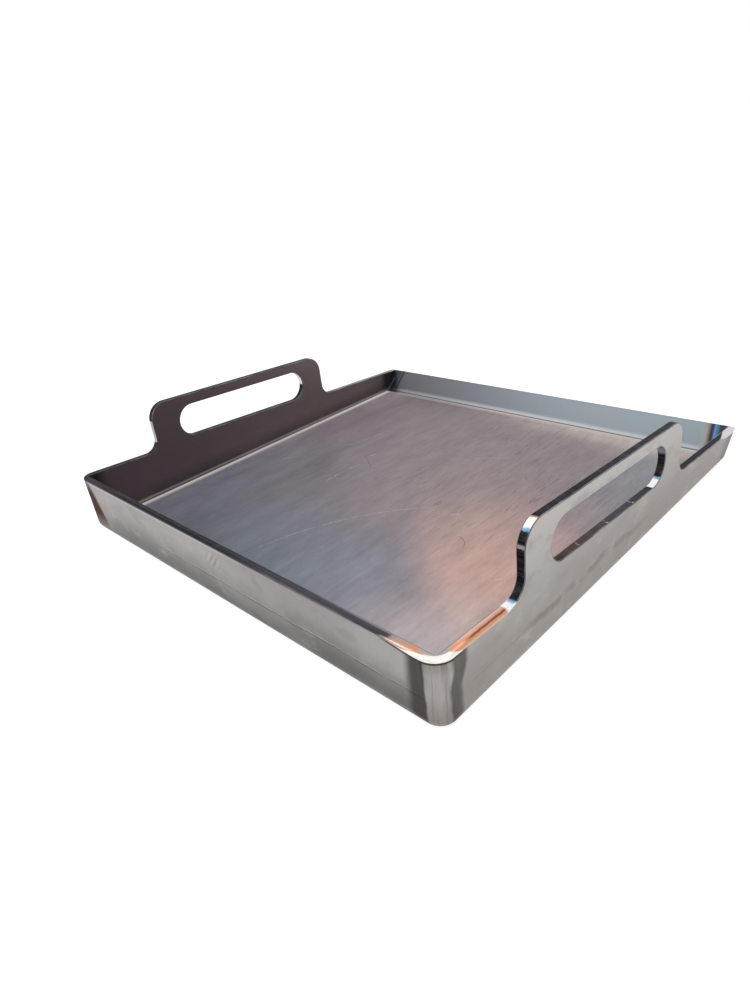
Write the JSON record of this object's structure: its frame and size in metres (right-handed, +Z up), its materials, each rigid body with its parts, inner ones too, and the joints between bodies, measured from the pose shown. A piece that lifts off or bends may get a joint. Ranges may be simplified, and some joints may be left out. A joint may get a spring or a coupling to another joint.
{
  "type": "camp griddle plate",
  "caption": "Square steel camp griddle tray with a tall front wall, a low sloping back lip and side walls with cut-out handles, welded and ground round at the corners.",
  "frame": {"origin": "on the underside, below the middle of the plan", "axes": "+Z up, +X to the right handle wall, +Y from the tall front wall to the sloping back lip"},
  "size_m": [0.35, 0.3538, 0.0781],
  "materials": {
    "cooking_plate": "fine rolled grain with light scratches",
    "wall_plate": "cloudy mill finish, dark cut edges",
    "ground_weld": "ground and linished"
  },
  "bodies": {
    "root": {"base_plate": "cooking_plate", "front_wall": "wall_plate", "back_lip": "wall_plate", "left_handle_wall": "wall_plate", "right_handle_wall": "wall_plate", "front_left_corner_weld": "ground_weld", "front_right_corner_weld": "ground_weld", "back_left_corner_weld": "ground_weld", "back_right_corner_weld": "ground_weld", "front_seam_weld": "ground_weld", "back_seam_weld": "ground_weld", "left_seam_weld": "ground_weld", "right_seam_weld": "ground_weld"}
  },
  "joints": []
}
